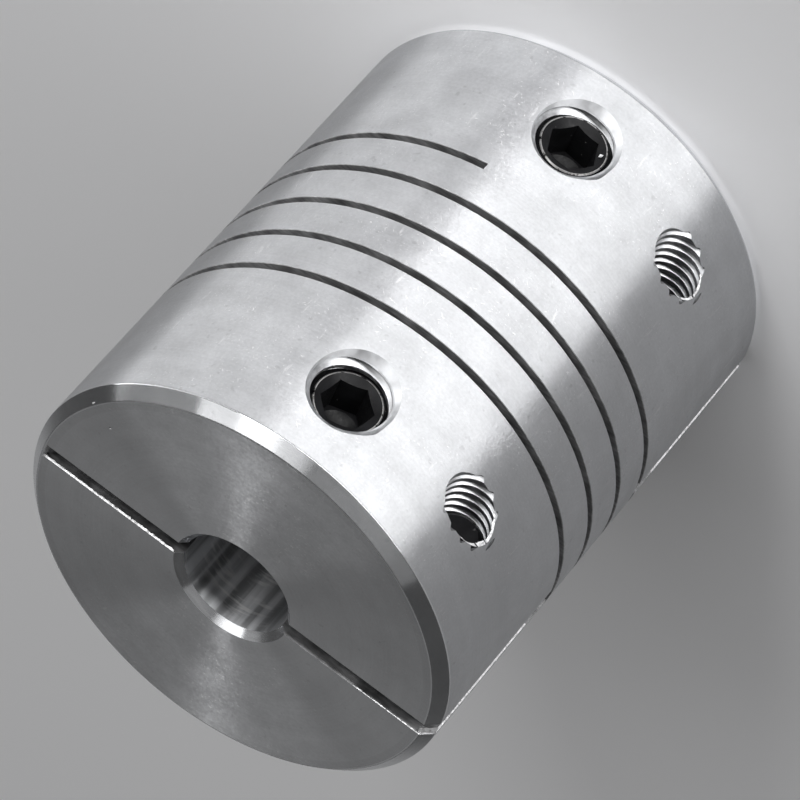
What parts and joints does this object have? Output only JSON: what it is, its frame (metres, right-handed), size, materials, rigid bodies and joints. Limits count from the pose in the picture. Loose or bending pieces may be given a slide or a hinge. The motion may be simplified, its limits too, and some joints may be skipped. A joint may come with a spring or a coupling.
{
  "type": "flexible shaft coupling",
  "caption": "One-piece aluminium helical beam shaft coupling with slit clamping hubs, each held by a socket set screw and a clamp screw.",
  "frame": {"origin": "centre of the lower end face, on the shaft axis", "axes": "+Z along the shaft axis to the upper hub, +X to the open side of the hub slits, +Y to the set screws"},
  "size_m": [0.02, 0.02, 0.025],
  "materials": {
    "turned_aluminium": "fine turned satin, bare metal",
    "black_oxide_set_screws": "black oxide, lightly oiled",
    "black_oxide_clamp_screws": "black oxide, lightly oiled"
  },
  "bodies": {
    "root": {"coupling_body": "turned_aluminium", "upper_set_screw": "black_oxide_set_screws", "lower_set_screw": "black_oxide_set_screws", "upper_clamp_screw": "black_oxide_clamp_screws", "lower_clamp_screw": "black_oxide_clamp_screws"}
  },
  "joints": []
}
